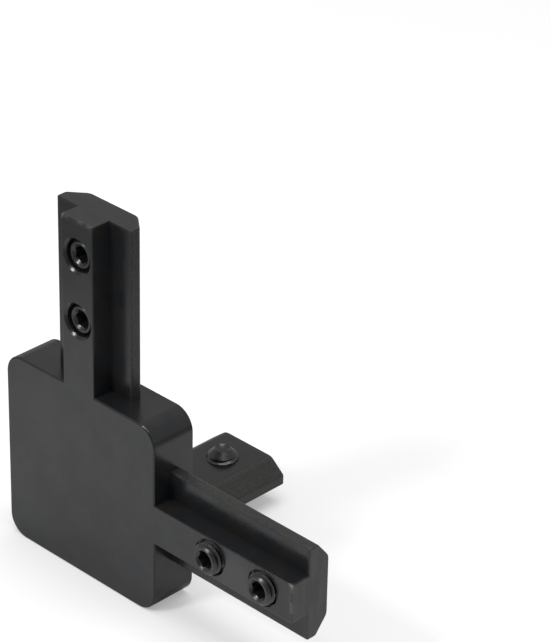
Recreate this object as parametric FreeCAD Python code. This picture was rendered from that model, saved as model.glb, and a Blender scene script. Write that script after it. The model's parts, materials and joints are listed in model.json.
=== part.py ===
import FreeCAD, Part
import math
import os

# Three way corner connector for 8 mm slots, in millimetres.
# A square plate closes the corner, and three T-section arms slide into the slots that meet there.
# The origin is the middle of the plate's back face. +X runs along the right arm, +Y along the back
# arm and +Z along the upper arm.

# Plate
plate_side = 38.2
plate_thickness = 9.3
plate_corner_radius = 4.0
plate_edge_radius = 0.35

# Arms: a narrow web fills the slot's mouth, and the flange behind it grips the slot's lips
arm_length = 33.5
web_width = 7.8
web_depth = 4.0
web_edge_radius = 0.2
flange_width = 18.6
flange_thickness = 4.8
flange_chamfer_across = 3.3
flange_chamfer_deep = 2.7
flange_front_radius = 0.3
flange_side_radius = 0.8
flange_back_radius = 2.0

# Threaded holes for the set screws
outer_hole_from_end = 7.0
hole_spacing = 12.7
hole_clearance = 0.05
countersink_rim = 0.45

# Set screws with a hexagon socket and a cup point
screw_diameter = 6.0
screw_length = 10.0
screw_head_chamfer = 0.6
cup_diameter = 3.0
cup_angle = 120.0
socket_across_flats = 3.0
socket_depth = 3.3
socket_drill_angle = 120.0

# Floor of the slot that an arm fills, behind the arm's outer face. The screws of the upper and back
# arms are driven home and bear on it with their cups. Those of the right arm are backed out from it.
slot_floor_depth = 10.8
right_inner_backed_out = 2.3
right_outer_backed_out = 2.1

# Turn of each screw's socket about its axis, in degrees
right_inner_turn = 12.0
right_outer_turn = 40.0
upper_inner_turn = 25.0
upper_outer_turn = 3.0
back_inner_turn = 18.0
back_outer_turn = 47.0

# Sizes that follow from those above
arm_depth = web_depth + flange_thickness
plate_half = plate_side / 2
screw_radius = screw_diameter / 2
hole_radius = screw_radius + hole_clearance
outer_hole_distance = arm_length - outer_hole_from_end
inner_hole_distance = outer_hole_distance - hole_spacing
cutter_overshoot = 1.0
hexagon_sides = 6

X_AXIS = FreeCAD.Vector(1, 0, 0)
Y_AXIS = FreeCAD.Vector(0, 1, 0)
Z_AXIS = FreeCAD.Vector(0, 0, 1)
ORIGIN = FreeCAD.Vector(0, 0, 0)


def rounded_wire(corners):
    """Closed wire through (point, radius) corners, each rounded by an arc where its radius isn't zero."""
    edges = []
    joins = []
    count = len(corners)
    for i in range(count):
        point, radius = corners[i]
        if radius == 0:
            joins.append((point, point))
            continue
        back = (corners[i - 1][0] - point).normalize()
        ahead = (corners[(i + 1) % count][0] - point).normalize()
        half_angle = back.getAngle(ahead) / 2
        tangent_length = radius / math.tan(half_angle)
        start = point + back * tangent_length
        end = point + ahead * tangent_length
        to_centre = (back + ahead).normalize()
        middle = point + to_centre * (radius / math.sin(half_angle) - radius)
        joins.append((start, end))
        edges.append(Part.Arc(start, middle, end).toShape())
    for i in range(count):
        edges.append(Part.makeLine(joins[i][1], joins[(i + 1) % count][0]))
    return Part.Wire(Part.__sortEdges__(edges))


def plate():
    """Square plate with rounded corners and a softened edge round its outer face."""
    corners = []
    for x, z in ((1, 1), (-1, 1), (-1, -1), (1, -1)):
        point = FreeCAD.Vector(x * plate_half, -plate_thickness, z * plate_half)
        corners.append((point, plate_corner_radius))
    blank = Part.Face(rounded_wire(corners)).extrude(Y_AXIS * plate_thickness)
    outer_edges = [edge for edge in blank.Edges if edge.BoundBox.YMax < -plate_thickness / 2]
    return blank.makeFillet(plate_edge_radius, outer_edges)


def arm_section():
    """T section of an arm, seen along it: Y is the depth behind its outer face and Z runs across it."""
    web_half = web_width / 2
    flange_half = flange_width / 2
    upper_half = (
        (0, web_half, web_edge_radius),
        (web_depth, web_half, 0),
        (web_depth, flange_half, flange_front_radius),
        (arm_depth - flange_chamfer_deep, flange_half, flange_side_radius),
        (arm_depth, flange_half - flange_chamfer_across, flange_back_radius),
    )
    corners = [(FreeCAD.Vector(0, y, z), radius) for y, z, radius in upper_half]
    corners += [(FreeCAD.Vector(0, y, -z), radius) for y, z, radius in reversed(upper_half)]
    return Part.Face(rounded_wire(corners))


def arm():
    """One arm along +X from the plate's edge, rooted as deep in the plate as the plate's softened edge."""
    section = arm_section()
    section.translate(X_AXIS * -plate_edge_radius)
    return section.extrude(X_AXIS * (arm_length + plate_edge_radius))


def screw_hole():
    """Cutter for one hole through an arm, along +Y from the arm's outer face, with a countersunk rim."""
    start = Y_AXIS * -cutter_overshoot
    bore = Part.makeCylinder(hole_radius, arm_depth + 2 * cutter_overshoot, start, Y_AXIS)
    mouth_radius = hole_radius + countersink_rim + cutter_overshoot
    countersink = Part.makeCone(mouth_radius, hole_radius, countersink_rim + cutter_overshoot, start, Y_AXIS)
    return bore.fuse(countersink)


def arm_placements():
    """Where each arm's outer face leaves the plate, and how the arm is turned from its own axes."""
    outer = -plate_thickness
    arms = {
        "right": (FreeCAD.Vector(plate_half, outer, 0), X_AXIS, Y_AXIS),
        "upper": (FreeCAD.Vector(0, outer, plate_half), Z_AXIS, Y_AXIS),
        "back": (FreeCAD.Vector(0, 0, -plate_half), Y_AXIS, Z_AXIS),
    }
    placements = {}
    for name, (root, along, inward) in arms.items():
        turn = FreeCAD.Rotation(along, inward, along.cross(inward), "XYZ")
        placements[name] = FreeCAD.Placement(root, turn)
    return placements


def placed(shape, placement):
    """A copy of the shape moved by the placement."""
    copy = shape.copy()
    copy.Placement = placement.multiply(shape.Placement)
    return copy


def corner_body():
    """The casting: plate and arms in one piece, with the screw holes cut through the arms."""
    placements = arm_placements().values()
    body = plate().fuse([placed(arm(), placement) for placement in placements]).removeSplitter()
    cutters = []
    for placement in placements:
        for distance in (inner_hole_distance, outer_hole_distance):
            cutter = screw_hole()
            cutter.translate(X_AXIS * distance)
            cutters.append(placed(cutter, placement))
    return body.cut(cutters)


def screw_blank():
    """Set screw along +Y from its socket end, at its thread's outer diameter, without its socket."""
    cup_radius = cup_diameter / 2
    point_chamfer = screw_radius - cup_radius
    cup_depth = cup_radius / math.tan(math.radians(cup_angle / 2))
    outline = (
        (0, 0),
        (screw_radius - screw_head_chamfer, 0),
        (screw_radius, screw_head_chamfer),
        (screw_radius, screw_length - point_chamfer),
        (cup_radius, screw_length),
        (0, screw_length - cup_depth),
        (0, 0),
    )
    wire = Part.makePolygon([FreeCAD.Vector(radius, depth, 0) for radius, depth in outline])
    return Part.Face(wire).revolve(ORIGIN, Y_AXIS, 360)


def socket_cutter(turn):
    """Hexagon socket with a drilled cone at its bottom, turned about the screw's axis."""
    drill_radius = socket_across_flats / 2
    corner_radius = drill_radius / math.cos(math.pi / hexagon_sides)
    points = []
    for i in range(hexagon_sides + 1):
        angle = math.radians(turn + 360 / hexagon_sides * i)
        across = FreeCAD.Vector(math.cos(angle), 0, math.sin(angle)) * corner_radius
        points.append(across - Y_AXIS * cutter_overshoot)
    prism = Part.Face(Part.makePolygon(points)).extrude(Y_AXIS * (socket_depth + cutter_overshoot))
    drill_depth = drill_radius / math.tan(math.radians(socket_drill_angle / 2))
    return prism.fuse(Part.makeCone(drill_radius, 0, drill_depth, Y_AXIS * socket_depth, Y_AXIS))


def set_screw(placement, distance, turn, backed_out=0):
    """One set screw in its hole, this far along the arm and backed out this far from the slot's floor."""
    recess = slot_floor_depth - screw_length - backed_out
    screw = screw_blank().cut(socket_cutter(turn))
    screw.translate(FreeCAD.Vector(distance, recess, 0))
    return placed(screw, placement)


def set_screws():
    """Every set screw by name, two in each arm, inner ones nearer the plate."""
    placements = arm_placements()
    right, upper, back = placements["right"], placements["upper"], placements["back"]
    inner, outer = inner_hole_distance, outer_hole_distance
    return {
        "right_set_screw_inner": set_screw(right, inner, right_inner_turn, right_inner_backed_out),
        "right_set_screw_outer": set_screw(right, outer, right_outer_turn, right_outer_backed_out),
        "upper_set_screw_inner": set_screw(upper, inner, upper_inner_turn),
        "upper_set_screw_outer": set_screw(upper, outer, upper_outer_turn),
        "back_set_screw_inner": set_screw(back, inner, back_inner_turn),
        "back_set_screw_outer": set_screw(back, outer, back_outer_turn),
    }


os.makedirs("parts", exist_ok=True)
nodes = {"corner_body": corner_body()}
nodes.update(set_screws())
for name, shape in nodes.items():
    shape.exportStep("parts/" + name + ".step")
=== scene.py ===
import json
import math

import bmesh
import bpy
from mathutils import Euler, Matrix, Vector

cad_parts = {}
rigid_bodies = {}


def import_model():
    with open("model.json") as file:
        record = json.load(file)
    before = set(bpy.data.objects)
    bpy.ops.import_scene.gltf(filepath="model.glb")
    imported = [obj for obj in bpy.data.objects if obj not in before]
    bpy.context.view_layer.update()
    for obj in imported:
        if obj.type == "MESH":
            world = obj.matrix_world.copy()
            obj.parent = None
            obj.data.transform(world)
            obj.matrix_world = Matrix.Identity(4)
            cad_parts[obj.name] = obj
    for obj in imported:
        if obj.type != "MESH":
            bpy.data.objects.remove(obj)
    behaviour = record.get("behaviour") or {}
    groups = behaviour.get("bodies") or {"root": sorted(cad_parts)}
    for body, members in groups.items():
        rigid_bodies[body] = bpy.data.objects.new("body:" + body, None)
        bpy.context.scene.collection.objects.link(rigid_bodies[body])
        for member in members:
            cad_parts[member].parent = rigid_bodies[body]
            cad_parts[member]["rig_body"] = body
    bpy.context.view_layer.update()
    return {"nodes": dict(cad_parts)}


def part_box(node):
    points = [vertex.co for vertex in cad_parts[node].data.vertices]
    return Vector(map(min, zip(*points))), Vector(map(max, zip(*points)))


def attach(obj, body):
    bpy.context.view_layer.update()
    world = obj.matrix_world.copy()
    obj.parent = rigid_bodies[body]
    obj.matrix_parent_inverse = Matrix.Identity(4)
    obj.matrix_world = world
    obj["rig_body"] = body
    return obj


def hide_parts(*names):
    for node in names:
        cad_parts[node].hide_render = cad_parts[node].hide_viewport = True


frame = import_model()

# The casting: a square end plate and three T-section arms, cast in steel in one piece. Its holes are
# countersunk and tapped, its edges are broken by tumbling, and it is blackened all over. The black has
# rubbed off in places where the arms' ends scrape into a slot.

MM = 0.001
MERGE_DISTANCE = 0.001 * MM
FLAT_WITHIN = math.radians(0.3)
PLATE_HALF = 19.1 * MM
PLATE_THICKNESS = 9.3 * MM
EDGE_BREAK = 0.22 * MM
EDGE_BREAK_SEGMENTS = 3
BROKEN_ABOVE = math.radians(28)
TIP_ROUND = 0.3 * MM
FLANGE_BEYOND = 5.0 * MM
FACES_ACROSS = 0.2
SHARP_ABOVE = math.radians(35)

X_AXIS, Y_AXIS, Z_AXIS = Vector((1, 0, 0)), Vector((0, 1, 0)), Vector((0, 0, 1))
ARM_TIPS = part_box("corner_body")[1]

# Each arm's direction, the direction across it, and how far from the origin it leaves the plate
ARMS = ((X_AXIS, Z_AXIS, PLATE_HALF), (Z_AXIS, X_AXIS, PLATE_HALF), (Y_AXIS, X_AXIS, 0))


def at_tip(piece, along):
    """Whether a face or an edge lies in the plane of the end of the arm that runs this way."""
    return all(abs(vert.co.dot(along) - ARM_TIPS.dot(along)) < MERGE_DISTANCE for vert in piece.verts)


def break_edges(shape):
    """Round every outside edge a little, apart from the rims of the arms' ends."""
    edges = [
        edge for edge in shape.edges
        if edge.calc_face_angle_signed(0) > BROKEN_ABOVE
        and not any(at_tip(edge, along) for along, across, root in ARMS)
    ]
    bmesh.ops.bevel(
        shape, geom=edges, offset=EDGE_BREAK, offset_type="OFFSET", affect="EDGES",
        segments=EDGE_BREAK_SEGMENTS, profile=0.5, material=-1, clamp_overlap=True,
    )


def round_tip(shape, along):
    """Round the rim of an arm's end in two steps, each an inset of its face and a pull on the old rim."""
    end_face = max((face for face in shape.faces if at_tip(face, along)), key=lambda face: face.calc_area())
    halfway = (1 - math.sqrt(0.5)) * TIP_ROUND
    for inset, back in ((halfway, TIP_ROUND), (TIP_ROUND - halfway, halfway)):
        old_rim = list(end_face.verts)
        bmesh.ops.inset_individual(shape, faces=[end_face], thickness=inset, use_even_offset=True)
        for vert in old_rim:
            vert.co -= along * back
    bmesh.ops.remove_doubles(shape, verts=end_face.verts, dist=TIP_ROUND / 2)


casting = bmesh.new()
casting.from_mesh(frame["nodes"]["corner_body"].data)
bmesh.ops.remove_doubles(casting, verts=casting.verts, dist=MERGE_DISTANCE)
bmesh.ops.dissolve_limit(casting, angle_limit=FLAT_WITHIN, verts=casting.verts, edges=casting.edges)
break_edges(casting)
for along, across, root in ARMS:
    round_tip(casting, along)
bmesh.ops.remove_doubles(casting, verts=casting.verts, dist=MERGE_DISTANCE)
bmesh.ops.dissolve_degenerate(casting, dist=MERGE_DISTANCE / 10, edges=casting.edges)
bmesh.ops.recalc_face_normals(casting, faces=casting.faces)

# Marks for the material: the sides of the flanges, and their fronts and backs
flange_side = casting.faces.layers.float.new("flange_side")
flange_front = casting.faces.layers.float.new("flange_front")
for face in casting.faces:
    middle = face.calc_center_median()
    for along, across, root in ARMS:
        if middle.dot(along) > root and abs(middle.dot(across)) > FLANGE_BEYOND:
            face[flange_side if abs(face.normal.dot(across)) > FACES_ACROSS else flange_front] = 1


def finished_piece(name, shape, node, material):
    """Turn a bmesh into the piece that stands for a CAD node, with smooth curves and crisp edges."""
    for face in shape.faces:
        face.smooth = True
    for edge in shape.edges:
        edge.smooth = edge.calc_face_angle(math.pi) < SHARP_ABOVE
    mesh = bpy.data.meshes.new(name)
    shape.to_mesh(mesh)
    shape.free()
    mesh.materials.append(material)
    piece = bpy.data.objects.new(name, mesh)
    bpy.context.scene.collection.objects.link(piece)
    weighting = piece.modifiers.new("Even shading of flat faces", "WEIGHTED_NORMAL")
    weighting.keep_sharp = True
    cad_node = frame["nodes"][node]
    cad_node.data.materials.clear()
    cad_node.data.materials.append(material)
    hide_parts(node)
    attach(piece, cad_node["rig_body"])


def linear(hex_colour):
    """Linear colour with full alpha, from an sRGB hex colour such as #17181a."""
    channels = [int(hex_colour[i:i + 2], 16) / 255 for i in (1, 3, 5)]
    return [c / 12.92 if c <= 0.04045 else ((c + 0.055) / 1.055) ** 2.4 for c in channels] + [1]


def set_up(node, settings):
    """Set a shader node's inputs and properties, each to its value or to the socket that feeds it."""
    for key, value in settings.items():
        if isinstance(key, str) and key not in node.inputs:
            setattr(node, key, value)
        elif isinstance(value, bpy.types.NodeSocket):
            node.id_data.links.new(value, node.inputs[key])
        else:
            node.inputs[key].default_value = value


def add_node(owner, kind, settings, output=0):
    """Add a shader node with its settings and links, and return one of its outputs."""
    node = owner.node_tree.nodes.new("ShaderNode" + kind)
    set_up(node, settings)
    return node.outputs[output]


# Blackened cast steel: a thin satin black coat that reads as deep grey because it mirrors pale
# surroundings. It is faintly cloudy, flecked with brown where the flanges rub in a slot, and worn to
# bright metal in places along the outer rims of the arms' ends. Along the flanges' front edges the brown
# flecks are partly rub and partly a painted highlight that lightens those edges. The ends are sawn, with
# faint streaks whose sheen runs a little above the coat's: a painted highlight on the ends.

BLACK_COAT, BLACK_COAT_BROWNED = "#1c1e21", "#211f1d"
RUBBED_COAT_AND_HIGHLIGHT = "#302e2a"
BARE_STEEL = "#8a8780"
COAT_IOR = 1.52
COAT_GLOSS_EVEN, COAT_GLOSS_DULL = 0.17, 0.27
RUBBED_GLOSS = 0.44
BARE_GLOSS = 0.32
SHEEN_LOW, SHEEN_HIGH, SHEEN_PAINTED_HIGHLIGHT = 0.47, 0.55, 0.78
STREAK_SHEEN_LOW, STREAK_SHEEN_HIGH = 0.49, 0.60

# Noise patterns, each scaled from the size of its marks. The grain of the casting is finer than the
# render can show, so it is drawn a little coarser. The W of the scrapes picks where they fall.
PATCHES = {"Scale": 1 / (3.5 * MM), "Detail": 4, "Roughness": 0.6}
CLOUDS = {"Scale": 1 / (6.0 * MM), "Detail": 3, "Roughness": 0.6}
FLECKS = {"Scale": 1 / (0.45 * MM), "Detail": 3, "Roughness": 0.7}
SCRAPES = {"noise_dimensions": "4D", "W": 2.0, "Scale": 1 / (2.2 * MM), "Detail": 1}
GRAIN = {"Scale": 1 / (0.35 * MM), "Detail": 2}
GRAIN_HEIGHT = 0.004 * MM
STREAKS = {"Scale": 1.0, "Detail": 3}
STREAK_WIDTH, STREAK_LENGTH = 1.1 * MM, 5.0 * MM

# Smooth steps from 0 to 1, between two levels of a noise pattern or of the nearness of an edge
SMOOTH = {"interpolation_type": "SMOOTHSTEP"}
CLOUDED = SMOOTH | {"From Min": 0.30, "From Max": 0.70}
STREAKED = SMOOTH | {"From Min": 0.35, "From Max": 0.65}
BROWNED = SMOOTH | {"From Min": 0.42, "From Max": 0.68}
FLECKED = SMOOTH | {"From Min": 0.40, "From Max": 0.58}
SCRAPED = SMOOTH | {"From Min": 0.50, "From Max": 0.58}
ON_RIM = SMOOTH | {"From Min": 0.18, "From Max": 0.38}
BY_RIM = SMOOTH | {"From Min": 0.10, "From Max": 0.45}
BY_FLANGE_EDGE = SMOOTH | {"From Min": 0.02, "From Max": 0.40}

# Where the coat wears: round its edges, near the arms' ends and close to the arms' outer faces. A painted
# highlight raises the coat's sheen on the front of the right arm round its screws.
EDGE_REACH = 0.8 * MM
EDGE_SAMPLES = 8
TIP_WEAR_FROM, TIP_WEAR_TO = 1.3 * MM, 0.5 * MM
OUTER_WEAR = 0.5 * MM
PAINTED_HIGHLIGHT_SPOT = Vector((39.0, -9.3, -2.5)) * MM
PAINTED_HIGHLIGHT_INNER, PAINTED_HIGHLIGHT_OUTER = 2.5 * MM, 8.0 * MM

# The Mix node's sockets for colours
MIX_MASK, MIX_LOW, MIX_HIGH, MIX_RESULT = 0, 6, 7, 2

blackened = bpy.data.materials.new("Blackened cast steel, satin")
blackened.use_nodes = True
place = add_node(blackened, "TexCoord", {}, "Object")
patches, clouds, flecks, scrapes, grain = [
    add_node(blackened, "TexNoise", {"Vector": place} | pattern)
    for pattern in (PATCHES, CLOUDS, FLECKS, SCRAPES, GRAIN)
]


def rising_along(axis, start, end):
    """Mask that rises smoothly from 0 at the start to 1 at the end, two positions along an axis."""
    position = add_node(blackened, "SeparateXYZ", {"Vector": place}, axis)
    return add_node(blackened, "MapRange", SMOOTH | {"Value": position, "From Min": start, "From Max": end})


def either(*masks):
    """Mask with the highest value of several."""
    highest = masks[0]
    for mask in masks[1:]:
        highest = add_node(blackened, "Math", {"operation": "MAXIMUM", 0: highest, 1: mask})
    return highest


buried = add_node(
    blackened, "AmbientOcclusion",
    {"samples": EDGE_SAMPLES, "inside": True, "only_local": True, "Distance": EDGE_REACH}, "AO",
)
near_edge = add_node(blackened, "Math", {"operation": "SUBTRACT", 0: 1, 1: buried})
by_tip = either(*[
    rising_along(axis, end - TIP_WEAR_FROM, end - TIP_WEAR_TO) for axis, end in zip("XYZ", ARM_TIPS)
])
by_outer_face = either(
    rising_along("Y", -PLATE_THICKNESS + OUTER_WEAR, -PLATE_THICKNESS),
    rising_along("Z", -PLATE_HALF + OUTER_WEAR, -PLATE_HALF),
)

side = add_node(blackened, "Attribute", {"attribute_name": "flange_side"}, "Fac")
front = add_node(blackened, "Attribute", {"attribute_name": "flange_front"}, "Fac")
# Partly painted highlight: the rub on the flanges' front edges lightens those edges.
front_edge_rub_and_highlight = add_node(blackened, "MapRange", BY_FLANGE_EDGE | {"Value": near_edge, "To Max": front})
rub_and_edge_highlight = either(side, front_edge_rub_and_highlight)
flecks_rub_and_highlight = add_node(blackened, "MapRange", FLECKED | {"Value": flecks, "To Max": rub_and_edge_highlight})
dusty = add_node(blackened, "MapRange", BY_RIM | {"Value": near_edge, "To Max": by_tip})
rub_wear_and_edge_highlight = either(flecks_rub_and_highlight, dusty)
worn_rim = add_node(blackened, "MapRange", ON_RIM | {"Value": near_edge, "To Max": by_tip})
worn_rim = add_node(blackened, "MapRange", SCRAPED | {"Value": scrapes, "To Max": worn_rim})
bare = add_node(blackened, "Math", {"operation": "MULTIPLY", 0: worn_rim, 1: by_outer_face})

browned = add_node(blackened, "MapRange", BROWNED | {"Value": patches})
coat_tint = linear(BLACK_COAT)
# The rubbed colour also carries the painted highlight along the flanges' front edges.
for mask, colour in ((browned, BLACK_COAT_BROWNED), (rub_wear_and_edge_highlight, RUBBED_COAT_AND_HIGHLIGHT), (bare, BARE_STEEL)):
    mix = {"data_type": "RGBA", MIX_MASK: mask, MIX_LOW: coat_tint, MIX_HIGH: linear(colour)}
    coat_tint = add_node(blackened, "Mix", mix, MIX_RESULT)

gloss = {"Value": patches, "To Min": COAT_GLOSS_EVEN, "To Max": COAT_GLOSS_DULL}
gloss = add_node(blackened, "MapRange", CLOUDED | gloss)
gloss = add_node(blackened, "MapRange", {"Value": rub_and_edge_highlight, "To Min": gloss, "To Max": RUBBED_GLOSS})
gloss = add_node(blackened, "MapRange", {"Value": bare, "To Min": gloss, "To Max": BARE_GLOSS})

sheen = {"Value": clouds, "To Min": SHEEN_LOW, "To Max": SHEEN_HIGH}
sheen = add_node(blackened, "MapRange", CLOUDED | sheen)
# Faint streaks of sheen on the arms' ends, as saw marks. Their sheen runs a little above the coat's: a
# painted highlight that lightens the ends.
stretch = (1 / STREAK_LENGTH, 1 / STREAK_WIDTH, 1 / STREAK_LENGTH)
stretched = add_node(blackened, "Mapping", {"Vector": place, "Scale": stretch})
streaks = add_node(blackened, "TexNoise", {"Vector": stretched} | STREAKS)
streaked = {"Value": streaks, "To Min": STREAK_SHEEN_LOW, "To Max": STREAK_SHEEN_HIGH}
streaked = add_node(blackened, "MapRange", STREAKED | streaked)
sheen = add_node(blackened, "MapRange", {"Value": by_tip, "To Min": sheen, "To Max": streaked})
# Painted highlight: the sheen rises towards a spot on the right arm's front, between its screws.
from_painted_highlight = {"operation": "DISTANCE", 0: place, 1: PAINTED_HIGHLIGHT_SPOT}
from_painted_highlight = add_node(blackened, "VectorMath", from_painted_highlight, "Value")
near_painted_highlight = SMOOTH | {"Value": from_painted_highlight, "From Min": PAINTED_HIGHLIGHT_OUTER, "From Max": PAINTED_HIGHLIGHT_INNER}
sheen = add_node(blackened, "MapRange", near_painted_highlight | {"To Min": sheen, "To Max": SHEEN_PAINTED_HIGHLIGHT})

set_up(blackened.node_tree.nodes["Principled BSDF"], {
    "IOR": COAT_IOR,
    "Base Color": coat_tint,
    "Metallic": bare,
    "Roughness": gloss,
    "Specular IOR Level": sheen,
    "Normal": add_node(blackened, "Bump", {"Strength": 1.0, "Distance": GRAIN_HEIGHT, "Height": grain}),
})

finished_piece("corner_casting", casting, "corner_body", blackened)

# Set screws: M6 in hardened steel, blackened in hot salts and oiled, two through each arm. The thread
# is rolled, the socket is punched with a hexagon, and the cup at the far end bites into a slot's floor.

SCREW_LENGTH = 10.0 * MM
THREAD_PITCH = 1.0 * MM
CREST_RADIUS = 2.97 * MM
ROOT_RADIUS = 2.45 * MM
CREST_FLAT = 0.14 * MM
ROOT_FLAT = 0.20 * MM
FLANK_STEPS = 4
THREAD_START = -0.2 * MM
TURNS_BEFORE, TURNS_AFTER = 2, 1
STEPS_PER_TURN = 48
HEAD_RADIUS = 2.40 * MM
POINT_RADIUS = 1.50 * MM
SOCKET_MOUTH_RADIUS = 2.0 * MM
SOCKET_MOUTH_SLOPE = math.radians(45)
SOCKET_HALF_WIDTH = 1.50 * MM
SOCKET_DEPTH = 3.3 * MM
SOCKET_SIDE_ANGLE = math.radians(60)
CONE_SLOPE = math.radians(30)


def thread_profile():
    """Points (radius, depth) of one pitch of thread, from the middle of one root to the next."""
    rise = CREST_RADIUS - ROOT_RADIUS
    flank = (THREAD_PITCH - CREST_FLAT - ROOT_FLAT) / 2
    points = [(ROOT_RADIUS, 0)]
    for i in range(FLANK_STEPS + 1):
        share = i / FLANK_STEPS
        points.append((ROOT_RADIUS + rise * share, ROOT_FLAT / 2 + flank * share))
    points += [(radius, THREAD_PITCH - depth) for radius, depth in reversed(points)]
    return points


def threaded_tube():
    """An open tube of thread along +Y, made longer than the screw and cut off square at both ends."""
    shape = bmesh.new()
    start = THREAD_START - TURNS_BEFORE * THREAD_PITCH
    line = [shape.verts.new((radius, start + depth, 0)) for radius, depth in thread_profile()]
    profile = line + [shape.edges.new(pair) for pair in zip(line, line[1:])]
    turns = TURNS_BEFORE + round(SCREW_LENGTH / THREAD_PITCH) + TURNS_AFTER
    bmesh.ops.spin(
        shape, geom=profile, cent=(0, 0, 0), axis=Y_AXIS, dvec=Y_AXIS * (THREAD_PITCH / STEPS_PER_TURN),
        angle=turns * math.tau, steps=turns * STEPS_PER_TURN, use_merge=False, use_duplicate=False,
    )
    bmesh.ops.remove_doubles(shape, verts=shape.verts, dist=MERGE_DISTANCE)
    for depth, outwards in ((0, -Y_AXIS), (SCREW_LENGTH, Y_AXIS)):
        bmesh.ops.bisect_plane(
            shape, geom=shape.verts[:] + shape.edges[:] + shape.faces[:], dist=MERGE_DISTANCE / 10,
            plane_co=Y_AXIS * depth, plane_no=outwards, clear_outer=True,
        )
    return shape


def chamfer_ends(shape):
    """Draw the thread in to the chamfers at both ends, and mark how near the crest each point stays."""
    crest = shape.verts.layers.float.new("crest")
    for vert in shape.verts:
        radius = math.hypot(vert.co.x, vert.co.z)
        chamfer = min(HEAD_RADIUS + vert.co.y, POINT_RADIUS + SCREW_LENGTH - vert.co.y)
        kept = min(radius, chamfer)
        vert[crest] = (kept - ROOT_RADIUS) / (CREST_RADIUS - ROOT_RADIUS)
        vert.co.x *= kept / radius
        vert.co.z *= kept / radius


def loop_at(shape, depth):
    """Open edges of a shape that lie at this depth."""
    edges = [edge for edge in shape.edges if edge.is_boundary]
    return [edge for edge in edges if all(abs(vert.co.y - depth) < MERGE_DISTANCE for vert in edge.verts)]


def next_ring(shape, edges, radius_at, depth_at):
    """Extrude a closed loop of edges round the Y axis, and move the new ring to these radii and depths."""
    grown = bmesh.ops.extrude_edge_only(shape, edges=edges)["geom"]
    for vert in (item for item in grown if isinstance(item, bmesh.types.BMVert)):
        angle = math.atan2(vert.co.z, vert.co.x)
        radius = radius_at(angle)
        vert.co = (radius * math.cos(angle), depth_at(angle), radius * math.sin(angle))
    return [item for item in grown if isinstance(item, bmesh.types.BMEdge)]


def pointed(shape, edges, depth):
    """Close a loop of edges with a cone to a point on the Y axis."""
    face = bmesh.ops.contextual_create(shape, geom=edges)["faces"]
    centre = bmesh.ops.poke(shape, faces=face)["verts"][0]
    centre.co = Y_AXIS * depth


def socket_radius(angle):
    """Distance from the axis to the socket's flats, whose corners lie at multiples of its side angle."""
    return SOCKET_HALF_WIDTH / math.cos(angle % SOCKET_SIDE_ANGLE - SOCKET_SIDE_ANGLE / 2)


def mouth_depth(angle):
    """Depth at which the socket's chamfered mouth meets its flats."""
    return (SOCKET_MOUTH_RADIUS - socket_radius(angle)) * math.tan(SOCKET_MOUTH_SLOPE)


def set_screw_shape():
    """A set screw along +Y from its socket end at the origin."""
    shape = threaded_tube()
    chamfer_ends(shape)
    head_rim = loop_at(shape, 0)
    cup_rim = loop_at(shape, SCREW_LENGTH)
    upright = Matrix.Rotation(math.radians(90), 4, "X")
    bmesh.ops.create_circle(shape, segments=STEPS_PER_TURN, radius=SOCKET_MOUTH_RADIUS, matrix=upright)
    mouth = [edge for edge in shape.edges if edge.is_wire]
    bmesh.ops.triangle_fill(shape, edges=head_rim + mouth, use_beauty=True, normal=-Y_AXIS)
    flats = next_ring(shape, mouth, socket_radius, mouth_depth)
    bottom = next_ring(shape, flats, socket_radius, lambda angle: SOCKET_DEPTH)
    drilled = next_ring(shape, bottom, lambda angle: SOCKET_HALF_WIDTH, lambda angle: SOCKET_DEPTH)
    pointed(shape, drilled, SOCKET_DEPTH + SOCKET_HALF_WIDTH * math.tan(CONE_SLOPE))
    pointed(shape, cup_rim, SCREW_LENGTH - POINT_RADIUS * math.tan(CONE_SLOPE))
    bmesh.ops.remove_doubles(shape, verts=shape.verts, dist=MERGE_DISTANCE)
    bmesh.ops.recalc_face_normals(shape, faces=shape.faces)
    return shape


# Black oxide, oiled: a glassy black skin on the steel, so that rims and chamfers carry small clear
# glints. The crests of the thread are rubbed to grey steel where they were driven through the holes.

OXIDE_BLACK = "#1f1f22"
RUBBED_CREST = "#77746f"
OXIDE_IOR = 1.62
OXIDE_GLOSS_LOW, OXIDE_GLOSS_HIGH = 0.24, 0.38
OIL_FILM = {"Scale": 1 / (0.8 * MM), "Detail": 3}
OILED = SMOOTH | {"From Min": 0.35, "From Max": 0.65}
RUBBED_THROUGH = SMOOTH | {"From Min": 0.35, "From Max": 0.60}
NEAR_CREST = SMOOTH | {"From Min": 0.75, "From Max": 1.0}

black_oxide = bpy.data.materials.new("Black oxide on hardened steel, oiled")
black_oxide.use_nodes = True
screw_place = add_node(black_oxide, "TexCoord", {}, "Object")
oil_film = add_node(black_oxide, "TexNoise", {"Vector": screw_place} | OIL_FILM)
crest_height = add_node(black_oxide, "Attribute", {"attribute_name": "crest"}, "Fac")
crest_wear = add_node(black_oxide, "MapRange", NEAR_CREST | {"Value": crest_height})
crest_wear = add_node(black_oxide, "MapRange", RUBBED_THROUGH | {"Value": oil_film, "To Max": crest_wear})
crest_mix = {MIX_MASK: crest_wear, MIX_LOW: linear(OXIDE_BLACK), MIX_HIGH: linear(RUBBED_CREST)}
oxide_gloss = {"Value": oil_film, "To Min": OXIDE_GLOSS_LOW, "To Max": OXIDE_GLOSS_HIGH}
set_up(black_oxide.node_tree.nodes["Principled BSDF"], {
    "IOR": OXIDE_IOR,
    "Base Color": add_node(black_oxide, "Mix", {"data_type": "RGBA"} | crest_mix, MIX_RESULT),
    "Metallic": crest_wear,
    "Roughness": add_node(black_oxide, "MapRange", OILED | oxide_gloss),
})

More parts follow.
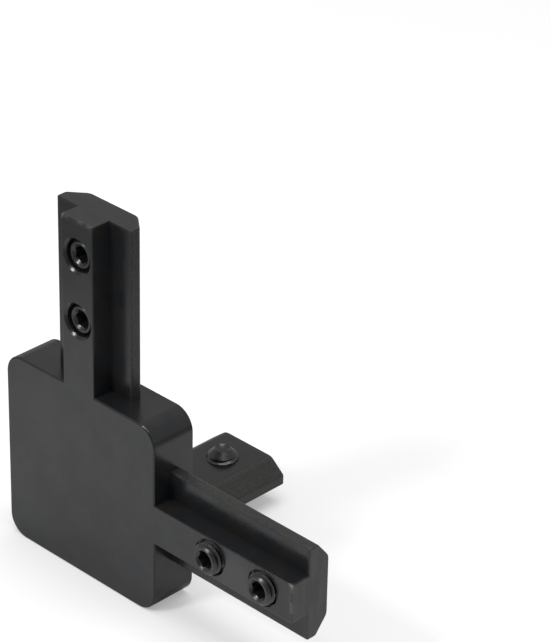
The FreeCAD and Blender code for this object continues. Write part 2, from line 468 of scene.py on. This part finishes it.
# The way along its arm, the way it is driven, and the turn of its socket in degrees, for each screw
SET_SCREWS = {
    "right_set_screw_inner": (X_AXIS, Y_AXIS, 12),
    "right_set_screw_outer": (X_AXIS, Y_AXIS, 40),
    "upper_set_screw_inner": (Z_AXIS, Y_AXIS, 25),
    "upper_set_screw_outer": (Z_AXIS, Y_AXIS, 3),
    "back_set_screw_inner": (Y_AXIS, Z_AXIS, 18),
    "back_set_screw_outer": (Y_AXIS, Z_AXIS, 47),
}

screw_pattern = set_screw_shape()
for node, (along, inward, turn) in SET_SCREWS.items():
    screw = screw_pattern.copy()
    low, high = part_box(node)
    seat = Matrix((along, inward, along.cross(inward))).transposed().to_4x4()
    seat.translation = (low + high) / 2 - inward * ((high - low).dot(inward) / 2)
    screw.transform(seat @ Matrix.Rotation(-math.radians(turn), 4, "Y"))
    finished_piece(node.replace("set_screw", "socket_screw"), screw, node, black_oxide)
screw_pattern.free()

# Floor: a wide sheet of matt white paper under the part. It shows white to the camera and keeps the
# part's shadow. In the part's gloss only, its colour is painted darker beyond a short reach from the part,
# a painted shade in the reflections, so the upper arm darkens towards its end.

FLOOR_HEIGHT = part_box("corner_body")[0].z
FLOOR_SIZE = 6.0
FLOOR_COLOUR, FLOOR_PAINTED_SHADE_IN_GLOSS = "#e6e6e6", "#929292"
FLOOR_ROUGHNESS = 0.9
GLOSS_SHADE_FROM, GLOSS_SHADE_TO = 0.08, 0.14
FLOOR_LIFT, FAR_FLOOR_LIFT = 0.32, 0.70
LIFT_FROM, LIFT_TO = 0.3, 1.5
WHITE = (1, 1, 1, 1)

floor_shape = bmesh.new()
bmesh.ops.create_grid(floor_shape, x_segments=1, y_segments=1, size=FLOOR_SIZE / 2)
bmesh.ops.translate(floor_shape, verts=floor_shape.verts, vec=Z_AXIS * FLOOR_HEIGHT)
floor_mesh = bpy.data.meshes.new("floor")
floor_shape.to_mesh(floor_mesh)
floor_shape.free()
floor = bpy.data.objects.new("floor", floor_mesh)
bpy.context.scene.collection.objects.link(floor)

paper = bpy.data.materials.new("Matt white paper")
paper.use_nodes = True
to_camera = add_node(paper, "LightPath", {}, "Is Camera Ray")
to_gloss = add_node(paper, "LightPath", {}, "Is Glossy Ray")
floor_place = add_node(paper, "TexCoord", {}, "Object")
reach = add_node(paper, "VectorMath", {"operation": "LENGTH", "Vector": floor_place}, "Value")
lift = SMOOTH | {"Value": reach, "From Min": LIFT_FROM, "From Max": LIFT_TO}
lift = add_node(paper, "MapRange", lift | {"To Min": FLOOR_LIFT, "To Max": FAR_FLOOR_LIFT})
# Painted shade: seen in the part's gloss, the paper darkens beyond a short reach from the part.
painted_shade_in_gloss = SMOOTH | {"Value": reach, "From Min": GLOSS_SHADE_FROM, "From Max": GLOSS_SHADE_TO}
painted_shade_in_gloss = add_node(paper, "MapRange", painted_shade_in_gloss | {"To Max": to_gloss})
floor_mix = {MIX_MASK: painted_shade_in_gloss, MIX_LOW: linear(FLOOR_COLOUR), MIX_HIGH: linear(FLOOR_PAINTED_SHADE_IN_GLOSS)}
set_up(paper.node_tree.nodes["Principled BSDF"], {
    "Base Color": add_node(paper, "Mix", {"data_type": "RGBA"} | floor_mix, MIX_RESULT),
    "Roughness": FLOOR_ROUGHNESS,
    "Specular IOR Level": 0.0,
    "Emission Color": WHITE,
    "Emission Strength": add_node(paper, "Math", {"operation": "MULTIPLY", 0: lift, 1: to_camera}),
})
floor_mesh.materials.append(paper)

# Surroundings: a soft white room, plain white to the camera. Its viewer's side is darker, which
# deepens the faces that mirror it. A small soft lamp in front gives the screws their glints, and a
# large one overhead lights what faces up.

ROOM_LEVEL = 0.46
SHADED_LEVEL = 0.14
SHADED_SIDE = Vector((0.60, -0.58, 0.55))
SHADED_FROM, SHADED_TO = 0.80, 0.95

room = bpy.data.worlds.new("Soft white surroundings")
bpy.context.scene.world = room
room.use_nodes = True
room_direction = add_node(room, "TexCoord", {}, "Generated")
facing = {"operation": "DOT_PRODUCT", 0: room_direction, 1: SHADED_SIDE}
facing = add_node(room, "VectorMath", facing, "Value")
shading = SMOOTH | {"Value": facing, "From Min": SHADED_FROM, "From Max": SHADED_TO}
room_level = add_node(room, "MapRange", shading | {"To Min": ROOM_LEVEL, "To Max": SHADED_LEVEL})
seen = add_node(room, "LightPath", {}, "Is Camera Ray")
room_level = add_node(room, "MapRange", {"Value": seen, "To Min": room_level, "To Max": 1.0})
set_up(room.node_tree.nodes["Background"], {"Color": WHITE, "Strength": room_level})


def soft_lamp(name, place, width, power):
    """A square area lamp of this width, aimed at the middle of the part."""
    lamp = bpy.data.lights.new(name, "AREA")
    lamp.shape = "SQUARE"
    lamp.size = width
    lamp.energy = power
    lamp_object = bpy.data.objects.new(name, lamp)
    bpy.context.scene.collection.objects.link(lamp_object)
    lamp_object.location = place
    lamp_object.rotation_euler = (-Vector(place)).to_track_quat("-Z", "Y").to_euler()


soft_lamp("Small lamp in front", (-0.11, -0.48, 0.49), 0.12, 1.4)
soft_lamp("Large lamp overhead", (0.12, 0.00, 0.80), 0.60, 3.1)

# Camera: a long lens about half a metre from the part, looking down on the corner from its right and
# turned a little about its own axis.

CAMERA_PLACE = (0.34254, -0.31650, 0.29554)
CAMERA_TURN = [math.radians(angle) for angle in (60.301, -1.085, 44.490)]
CAMERA_LENS = 172.0
CLIP_START = 0.01

camera = bpy.data.cameras.new("Camera")
camera.lens = CAMERA_LENS
camera.clip_start = CLIP_START
camera_object = bpy.data.objects.new("Camera", camera)
bpy.context.scene.collection.objects.link(camera_object)
camera_object.location = CAMERA_PLACE
camera_object.rotation_euler = Euler(CAMERA_TURN)
bpy.context.scene.camera = camera_object
bpy.context.scene.view_settings.view_transform = "Standard"
